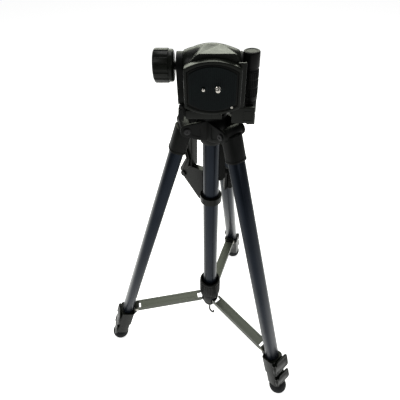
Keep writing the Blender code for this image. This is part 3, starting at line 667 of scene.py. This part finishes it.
def make_plate():
    """The quick-release plate, its ribbed pad, screw and pin."""
    z = SCREW_HEIGHT - TILT_HEIGHT
    plate = softened(upright("plate_fine", [plate_outline(3.8)], -44.9, -39.3), 0.5)
    head_room = rod("room", 7.5, (SCREW_X, -41.9, z), (SCREW_X, -38.0, z))
    plate = shaped(plate, cuts=[*plate_holes(z), head_room])
    piece(plate, "quick_release_plate", head_place(), rounding=0.0)
    pad = upright("pad_fine", [plate_outline(6.0)], -46.5, -45.2)
    grooves = upright("grooves", pad_grooves(z), -47.0, -46.05)
    pad = shaped(pad, cuts=[grooves, *plate_holes(z)])
    piece(pad, "plate_pad", head_place(), rounding=0.0, look="pad")

    thread = [
        (0.0, 11.4), (0.9, 11.32), (1.7, 11.05), (2.4, 10.55), (2.9, 9.85), (3.15, 8.9),
    ]
    height = 8.3
    while height > 0.9:
        thread += [(3.15, height), (2.6, height - 0.55)]
        height -= 1.1
    thread += [
        (3.15, 0.4), (3.15, 0.0), (6.8, 0.0), (7.0, -0.2), (7.0, -1.8), (6.8, -2.0),
        (0.0, -2.0),
    ]
    screw = lathe("camera_screw_fine", thread, sides=64)
    place = head_place(SCREW_X, -41.6, z) @ UPRIGHT
    piece(screw, "camera_screw", place, rounding=0.0, angle=50)
    angles = [math.radians(a) for a in range(10, 91, 10)]
    dome = [(2.0 * math.sin(a), 6.3 + 1.3 * math.cos(a)) for a in angles]
    pin = lathe("video_pin_fine", [(0.0, 7.6), *dome, (2.0, 0.0), (0.0, 0.0)], sides=48)
    piece(pin, "video_pin", head_place(PIN_X, -43.2, z) @ UPRIGHT, rounding=0.0)


def make_handle():
    """The upright handle: clamp block and core, and the ribbed twist grip."""
    lean = Matrix.Rotation(math.radians(HANDLE_LEAN), 4, "Y")
    place = head_place(47.3, 0.0, -21.0) @ lean
    collar = rod("pan_handle_fine", 9.6, (0, 0, -40.4), (0, 0, -22.0), sides=72)
    collar = softened(collar, 0.8)
    core = rod("core", 4.0, (0, 0, -30.0), (0, 0, 32.0))
    bracket = softened(box("bracket", (-5.0, -33.8, -40.4), (5.4, -4.0, -25.5)), 1.2)
    grooves = []
    for h in (-26.0, -36.4):
        ring = [(11.0, h + 0.4), (11.0, h - 0.4), (9.1, h - 0.4), (9.1, h + 0.4)]
        groove = lathe("groove", ring, closed=True)
        clear = box("clear", (-5.6, -34.5, -60), (5.8, -4.0, 0))
        grooves.append(shaped(groove, cuts=[clear]))
    handle = shaped(collar, joined=[core, bracket], cuts=grooves)
    piece(handle, "pan_handle", place, rounding=0.0)

    rows = []
    for top, low in ((15.2, 6.2), (5.0, -4.0), (-5.2, -14.2)):
        rows += [
            (9.5, top + 0.5), (9.5, top, 0.0), (9.5, top - 0.6, 0.75),
            (9.5, low + 0.6, 0.75), (9.5, low, 0.0), (9.5, low - 0.5),
        ]
    profile = [
        (0.0, 38.6), (6.4, 38.6), (6.9, 39.0), (8.6, 39.0), (9.6, 38.5), (10.15, 37.4),
        (10.3, 36.0), (10.3, 20.4), (10.0, 19.8), (9.3, 19.4), (9.3, 17.4), (10.0, 17.0),
        (10.2, 16.4), *rows, (10.1, -15.4), (10.0, -20.8), (9.5, -21.7), (4.3, -21.7),
        (4.3, 32.4), (0.0, 32.4),
    ]
    grip = lathe("handle_grip_fine", profile, sides=288, ribs=24, flat=0.0)
    piece(grip, "handle_grip", place, rounding=0.0)


def make_spider():
    """The shoulder casting: a turned hub with a pair of rounded ears for each leg."""
    profile = [
        (19.6, 523.5), (20.3, 523.0), (20.9, 521.0), (21.0, 519.0), (21.0, 505.0),
        (20.2, 498.0), (18.5, 488.0), (17.2, 483.0), (15.9, 479.0), (15.2, 478.0),
        (12.8, 478.0), (12.8, 516.3), (10.8, 516.3), (10.8, 523.5),
    ]
    base = lathe("spider_fine", profile, closed=True, sides=96)
    knuckle = arc((HINGE_RADIUS, HINGE_HEIGHT), 8.6, 80, -70, 20)
    outline = [(5.0, 519.5), *knuckle, (20.0, 491.0), (5.0, 489.0)]
    inner = [(19.0, 513.5), (31.0, 511.8), (31.0, 501.0), (22.0, 496.0), (19.0, 496.0)]
    ears, bores = [], []
    for azimuth in LEG_AZIMUTHS.values():
        for near, far, panel in ((14.3, 18.3, 17.7), (-18.3, -14.3, -17.7)):
            ear = softened(upright("ear", [outline], near, far), 0.7, 3)
            ear.data.transform(around_z(azimuth))
            ears.append(ear)
            outside = (panel, far + 1.0) if far > 0 else (near - 1.0, panel)
            pocket = upright("pocket", [inner], *outside)
            pocket.data.transform(around_z(azimuth))
            bores.append(pocket)
        ends = [(HINGE_RADIUS, side * 22.0, HINGE_HEIGHT) for side in (-1, 1)]
        bore = rod("bore", HINGE_BORE, *ends)
        bore.data.transform(around_z(azimuth))
        bores.append(bore)
    piece(shaped(base, joined=ears, cuts=bores), "spider", rounding=0.0)


def make_centre_tube():
    """The outer tube, with a hole in its side for the crank's shaft."""
    profile = [
        (12.2, 516.0), (12.5, 515.7), (12.5, 82.3), (12.2, 82.0), (11.3, 82.0),
        (11.3, 516.0),
    ]
    tube = lathe("centre_tube_fine", profile, closed=True, sides=96)
    hole = rod("hole", 2.9, (5.0, 0.0, 421.0), (20.0, 0.0, 421.0))
    hole.data.transform(around_z(CRANK_AZIMUTH))
    piece(shaped(tube, cuts=[hole]), "centre_tube", rounding=0.0)


def make_column():
    """The elevator column, with a plain slot along the crank's side."""
    profile = [
        (0.0, 538.0), (7.6, 538.0), (8.0, 537.6), (8.0, 527.3), (15.6, 527.3), (16.0, 526.9),
        (16.0, 524.2), (15.6, 523.8), (10.5, 523.8), (10.5, 210.4), (10.1, 210.0),
        (8.2, 210.0), (8.2, 500.0), (0.0, 500.0),
    ]
    base = lathe("column_fine", profile, sides=72)
    slot = box("slot", (4.3, -5.6, 216.0), (13.0, 5.6, 494.0))
    slot.data.transform(around_z(CRANK_AZIMUTH))
    piece(shaped(base, cuts=[slot]), "column", rounding=0.0)


def make_end_and_hook():
    """The plug in the foot of the centre tube, and the wire hook that turns in it."""
    profile = [
        (10.6, 93.0), (11.0, 92.6), (11.0, 81.7), (12.1, 81.7), (12.5, 81.3), (12.5, 75.4),
        (12.0, 74.2), (9.6, 69.5), (8.8, 69.0), (2.8, 69.0), (2.3, 69.5), (2.3, 93.0),
    ]
    piece(lathe("end_plug_fine", profile, closed=True), "end_plug", rounding=0.0)
    bend = arc((6.0, -38.0), 6.0, 180, 380, 24)
    points = [(0.0, 0.0, 11.0), (0.0, 0.0, -10.0)] + [(x, 0.0, z) for x, z in bend]
    hook = wire("weight_hook_fine", points, 1.8, 8)
    tip = bend[-1]
    band = [(0.0, 8.6), (1.9, 8.6), (2.05, 8.3), (2.05, 7.2), (1.9, 6.9), (0.0, 6.9)]
    collar = lathe("collar", band, sides=40)
    ball = bmesh.new()
    bmesh.ops.create_uvsphere(ball, u_segments=32, v_segments=20, radius=1.8 * MM)
    bmesh.ops.translate(ball, verts=ball.verts, vec=(tip[0] * MM, 0.0, tip[1] * MM))
    place = at(0.0, 0.0, 80.0) @ around_z(HOOK_AZIMUTH)
    hook = shaped(hook, joined=[collar, keep("ball", ball)])
    piece(hook, "weight_hook", place, rounding=0.0)


def make_hub():
    """The sliding hub: a ribbed barrel with a dished top and a slot for each brace."""
    profile = [
        (18.6, 153.0), (19.4, 152.7), (19.9, 151.6), (20.0, 148.6), (19.7, 148.0),
        (19.5, 147.4, 0.0), (19.5, 146.8, 1.0), (19.5, 115.2, 1.0), (19.4, 114.4, 0.0),
        (19.6, 113.4), (18.6, 104.0), (17.0, 89.4), (16.2, 87.4), (15.3, 86.8),
        (15.3, 84.4), (14.9, 84.0), (12.8, 84.0), (12.8, 119.0), (16.8, 122.0), (16.8, 152.2),
        (17.3, 153.0),
    ]
    base = lathe("brace_hub_fine", profile, closed=True, sides=288, ribs=24, flat=-0.2)
    slots = []
    for azimuth in LEG_AZIMUTHS.values():
        slot = box("slot", (7.0, -9.9, 88.5), (26.0, 9.9, 107.5))
        slot.data.transform(around_z(azimuth))
        slots.append(slot)
    piece(shaped(base, cuts=slots), "brace_hub", rounding=0.0)


def make_braces():
    """Folded channels with a stiffening bead, rounded ears, and their headed pins."""
    reach, half, outer, inner = -132.0, 4.8, 9.3, 7.9
    lug_x = 154.0
    for side, azimuth in LEG_AZIMUTHS.items():
        place = around_z(azimuth) @ at(lug_x, 0.0, 99.5)
        ends = [*arc((0, 0), half, 90, -90, 24), *arc((reach, 0), half, 270, 90, 24)]
        flange = upright(f"brace_{side}_fine", [ends], inner, outer)
        other = upright("flange", [ends], -outer, -inner)
        web = box("web", (-127.0, -9.1, half - 1.4), (-8.5, 9.1, half - 0.05))
        bead = box("bead", (-118.0, -2.6, half - 1.8), (-17.0, 2.6, half - 0.55))
        bead = softened(bead, 0.5, 3)
        grooves = []
        for y in (-4.6, 4.6):
            low, high = (-119.0, y - 0.5, half - 0.35), (-16.0, y + 0.5, half + 0.6)
            grooves.append(softened(box("groove", low, high), 0.2, 2))
        bore = rod("bore", 1.9, (0.0, -12.0, 0.0), (0.0, 12.0, 0.0))
        brace = shaped(flange, joined=[web, other, bead], cuts=[bore, *grooves])
        piece(brace, f"brace_{side}", place, rounding=0.0)
        pin = rod(f"brace_pin_{side}_fine", 1.6, (0, -10.0, 0), (0, 10.0, 0), sides=32)
        heads = []
        angles = [math.radians(a) for a in range(80, -1, -16)]
        dome = [(3.0 * math.cos(a), 9.6 + 1.4 * math.sin(a)) for a in angles]
        for s in (-1, 1):
            head = lathe("head", [(0.0, 11.0), *dome, (0.0, 9.6)], sides=32)
            head.data.transform(Matrix.Rotation(math.radians(-90 * s), 4, "X"))
            heads.append(head)
        piece(shaped(pin, joined=heads), f"brace_pin_{side}", place, rounding=0.0)


def shell(name, size, thickness, span):
    """One drawn leg section, its ends eased."""
    outlines = [oval(size), oval(size, -thickness)]
    return softened(prism(name, outlines, -span[1], -span[0]), 0.25, 2, 60.0)


def make_leg(side):
    """Sleeve, three drawn sections and the ball foot of one leg, in the leg's frame."""
    place = leg_frame(side)
    knuckle = softened(rod("knuckle", 8.2, (0, -13.9, 0), (0, 13.9, 0), sides=72), 0.6)
    skirt = softened(prism("skirt", [oval((24.0, 27.4))], -40.0, -3.0), 1.0, 4, 50.0)
    hem = softened(prism("hem", [oval((24.9, 28.3))], -39.9, -36.6), 0.5, 3, 50.0)
    knuckle.name = f"leg_{side}_sleeve_fine"
    socket = prism("socket", [oval(UPPER_OVAL, SOCKET_GAP)], -45.0, -14.0)
    bore = rod("bore", HINGE_BORE, (0, -20, 0), (0, 20, 0))
    sleeve = shaped(knuckle, joined=[skirt, hem], cuts=[socket, bore])
    piece(sleeve, f"leg_{side}_sleeve", place, rounding=0.0)

    pin = rod(f"leg_{side}_hinge_pin_fine", 2.5, (0, -18.8, 0), (0, 18.8, 0), sides=40)
    heads = [
        softened(rod("head", 4.4, (0, s * 18.6, 0), (0, s * 20.4, 0)), 0.5) for s in (-1, 1)
    ]
    sockets = [
        rod("socket", 1.9, (0, s * 19.5, 0), (0, s * 22.0, 0), sides=6) for s in (-1, 1)
    ]
    piece(shaped(pin, joined=heads, cuts=sockets), f"leg_{side}_hinge_pin", place, rounding=0.0)

    for part, size, thickness, span in (
        ("upper", UPPER_OVAL, WALL, (14.3, 447.0)),
        ("middle", MIDDLE_OVAL, INNER_WALL, (95.0, 488.0)),
        ("lower", LOWER_OVAL, INNER_WALL, (110.0, 512.0)),
    ):
        node = f"leg_{side}_{part}_tube"
        piece(shell(f"{node}_fine", size, thickness, span), node, place, rounding=0.0)

    # The ball is cut flat on top, and has three fine grooves as a tread.
    rise = 11.7
    start = math.degrees(math.asin(rise / BALL_RADIUS))
    points = [(0.0, rise)]
    for step in range(49):
        angle = math.radians(start + (-90 - start) * step / 48)
        tread = 0.45 if step in (26, 27, 31, 32, 36, 37) else 0.0
        radius = BALL_RADIUS - tread
        points.append((radius * math.cos(angle), radius * math.sin(angle)))
    points[-1] = (0.0, -BALL_RADIUS)
    ball = lathe(f"foot_{side}_fine", points, sides=96)
    ball.data.transform(at(0.0, 0.0, -BALL_CENTRE))
    socket = prism("socket", [oval(LOWER_OVAL, SOCKET_GAP)], -512.3, -500.0)
    ground = box("ground_cut", (-260, -260, -30), (260, 260, 0.0))
    ground.data.transform(place.inverted())
    piece(shaped(ball, cuts=[socket, ground]), f"foot_{side}", place, rounding=0.0)


def make_lever(side, part, hinge, height, reach, tip, overhang):
    """A flip lever: a knuckle on its pin, and a broad rounded plate with grip ridges."""
    node = f"leg_{side}_{part}_lever"
    length = height[1] - height[0]
    outline = [
        (2.9, -1.0), (2.9, reach - hinge[1]), (2.2, tip - hinge[1]),
        (-0.6, tip + 0.6 - hinge[1]), (-0.6, 3.0), (0.0, 0.0),
    ]
    blade = softened(prism(f"{node}_fine", [outline], -length, 0.0), 0.3, 2)
    knuckle = softened(rod("knuckle", 3.3, (0, 0, -length), (0, 0, 0)), 0.3, 2)
    across = tip - hinge[1]
    face = rounded((4.4, -length - overhang), (across, overhang), 5.0, 10)
    plate = softened(sideways("plate", [face], -0.4, 2.7), 1.0, 4)
    ridges = []
    for back in (3.4, 5.6, 7.8):
        y = across - back
        low, high = (2.0, y - 0.5, -length - overhang + 6.0), (3.1, y + 0.5, overhang - 6.0)
        ridges.append(softened(box("ridge", low, high), 0.25, 2))
    bore = rod("bore", 1.8, (0, 0, -length - 5), (0, 0, 5))
    lever = shaped(blade, joined=[knuckle, plate, *ridges], cuts=[bore])
    place = leg_frame(side) @ at(*hinge, height[1])
    piece(lever, node, place, rounding=0.0)


def make_crank_grip():
    """The crank's fold-out grip, with finger ribs round it."""
    angles = [-0.12 * i for i in range(1, 12)]
    round_end = [(5.6 * math.cos(a), 5.6 * math.sin(a)) for a in angles]
    profile = [(0.0, 33.0), (3.6, 33.0), (4.6, 32.6), (5.3, 31.5), (5.6, 30.0)]
    for top in (27.5, 23.5, 19.5, 15.5):
        profile += [(5.6, top), (5.1, top - 0.5), (5.1, top - 1.5), (5.6, top - 2.0)]
    profile += [(5.6, 0.0), *round_end, (0.0, -5.6)]
    grip = lathe("crank_grip_fine", profile, sides=72)
    fork = box("fork", (-8.0, -2.5, -8.0), (4.7, 2.5, 5.2))
    bore = rod("bore", 1.6, (0.0, -7.0, 0.0), (0.0, 7.0, 0.0))
    place = around_z(CRANK_AZIMUTH) @ at(29.9, 0.0, 391.0)
    piece(shaped(grip, cuts=[fork, bore]), "crank_grip", place, rounding=0.0)


def make_pan_knob():
    """The small ribbed knob at the front of the pan base."""
    profile = [
        (0.0, 15.0), (2.6, 15.0), (3.4, 14.8), (3.9, 14.2, 0.0), (3.9, 13.6, 0.4),
        (3.9, 8.2, 0.4), (3.8, 7.5, 0.0), (2.0, 7.0), (2.0, 0.0), (0.0, 0.0),
    ]
    knob = lathe("pan_lock_knob_fine", profile, sides=144, ribs=18, flat=0.0)
    piece(knob, "pan_lock_knob", at(0.5, -18.0, 533.0) @ UPRIGHT, rounding=0.0)


def make_carry_handle():
    """The moulded grip: a web with a raised zigzag strap on each face."""
    place = around_z(CARRY_AZIMUTH)
    outline = [
        (29.4, 500.0), (35.0, 499.0), (39.0, 489.0), (57.0, 458.0), (46.0, 431.0),
        (60.0, 405.0), (60.0, 399.0), (41.0, 413.6), (34.0, 418.0), (33.0, 470.0), (29.4, 486.0),
    ]
    grip = softened(upright("carry_handle_fine", [outline], -7.0, 7.0), 1.0, 3, 20.0)
    strap = [
        (32.6, 498.0), (36.8, 487.5), (54.0, 458.0), (43.4, 430.5), (56.4, 404.6),
        (54.2, 403.6), (40.6, 430.5), (50.6, 458.0), (33.8, 487.0), (30.6, 494.0),
    ]
    inner = [
        (31.4, 489.0), (34.6, 484.0), (47.8, 458.0), (38.6, 431.0), (42.0, 416.0),
        (35.2, 420.0), (34.2, 470.0), (30.8, 486.0),
    ]
    pockets = [upright("pocket", [inner], *span) for span in ((-8.0, -4.2), (4.2, 8.0))]
    straps = [
        softened(upright("strap", [strap], *span), 0.5, 2, 20.0)
        for span in ((-8.0, -3.0), (3.0, 8.0))
    ]
    grip = shaped(grip, cuts=pockets)
    piece(shaped(grip, joined=straps), "carry_handle", place, rounding=0.0)


make_tilt_knob()
make_tilt_body()
make_platform()
make_plate()
make_handle()
make_spider()
make_centre_tube()
make_column()
make_end_and_hook()
make_hub()
make_braces()
make_crank_grip()
make_pan_knob()
make_carry_handle()
for leg in LEG_AZIMUTHS:
    make_leg(leg)
    make_lever(leg, "upper", (14.0, -12.2), (-457.0, -442.0), 13.0, 21.5, 7.0)
    make_lever(leg, "lower", (12.8, -11.4), (-493.0, -480.5), 12.0, 20.5, 5.3)
# Every CAD node that nothing above stands for gets a welded, bevelled copy.
for node in frame["nodes"]:
    if not frame["nodes"][node].hide_render:
        refined(node)


# ------------------------------------------------------- floor, light, camera


def make_stage():
    """A flat, pale, faintly glowing floor."""
    shape = bmesh.new()
    bmesh.ops.create_grid(shape, x_segments=1, y_segments=1, size=6.0)
    floor = keep("floor", shape)
    paper = bpy.data.materials.new("paper")
    paper.use_nodes = True
    shader = paper.node_tree.nodes["Principled BSDF"]
    shader.inputs["Base Color"].default_value = (0.93, 0.93, 0.93, 1.0)
    shader.inputs["Roughness"].default_value = 0.9
    shader.inputs["Specular IOR Level"].default_value = 0.1
    shader.inputs["Emission Color"].default_value = (1.0, 1.0, 1.0, 1.0)
    shader.inputs["Emission Strength"].default_value = 0.84
    floor.data.materials.append(paper)


def make_light(name, place, target, size, power, tint=(1.0, 1.0, 1.0)):
    """A rectangular area light. Places and sizes are in metres."""
    lamp = bpy.data.lights.new(name, "AREA")
    lamp.shape = "RECTANGLE"
    lamp.size, lamp.size_y = size
    lamp.energy = power
    lamp.color = tint
    obj = bpy.data.objects.new(name, lamp)
    bpy.context.scene.collection.objects.link(obj)
    obj.location = place
    aim = Vector(target) - Vector(place)
    obj.rotation_mode = "QUATERNION"
    obj.rotation_quaternion = aim.to_track_quat("-Z", "Y")


def make_world(strength):
    """Soft light from all round, in front of a white backdrop."""
    world = bpy.data.worlds.new("studio")
    world.use_nodes = True
    tree = world.node_tree
    glow = tree.nodes["Background"]
    glow.inputs["Color"].default_value = (1.0, 1.0, 1.0, 1.0)
    glow.inputs["Strength"].default_value = strength
    backdrop = tree.nodes.new("ShaderNodeBackground")
    backdrop.inputs["Color"].default_value = (1.0, 1.0, 1.0, 1.0)
    backdrop.inputs["Strength"].default_value = 1.0
    path = tree.nodes.new("ShaderNodeLightPath")
    mix = tree.nodes.new("ShaderNodeMixShader")
    tree.links.new(path.outputs["Is Camera Ray"], mix.inputs["Fac"])
    tree.links.new(glow.outputs["Background"], mix.inputs[1])
    tree.links.new(backdrop.outputs["Background"], mix.inputs[2])
    tree.links.new(mix.outputs["Shader"], tree.nodes["World Output"].inputs["Surface"])
    bpy.context.scene.world = world


def make_camera():
    """The viewpoint: above the head, on the plate's side, looking down."""
    data = bpy.data.cameras.new("camera")
    data.sensor_width = 36.0
    data.lens = 31.69
    camera = bpy.data.objects.new("camera", data)
    bpy.context.scene.collection.objects.link(camera)
    right = Vector((0.99946, 0.03043, -0.01213))
    up = Vector((-0.01118, 0.66504, 0.74672))
    back = right.cross(up)
    turn = Matrix((right, up, back)).transposed().to_4x4()
    camera.matrix_world = Matrix.Translation((0.0, -0.4273, 0.7453)) @ turn
    bpy.context.scene.camera = camera


make_stage()
make_world(0.12)
make_light("key", (-1.0, -0.7, 1.6), (0.0, 0.0, 0.45), (0.8, 0.8), 6.0)
make_light("fill", (1.2, -0.9, 1.2), (0.0, 0.0, 0.3), (0.8, 0.8), 4.0)
make_light("back", (-0.1, 1.25, 1.12), (0.0, 0.0, 0.5), (1.4, 0.75), 14.0, (0.95, 1.0, 0.84))
make_light("high", (0.0, 0.6, 1.9), (0.0, 0.0, 0.3), (1.2, 0.9), 14.0)
make_camera()
bpy.context.scene.view_settings.view_transform = "Standard"
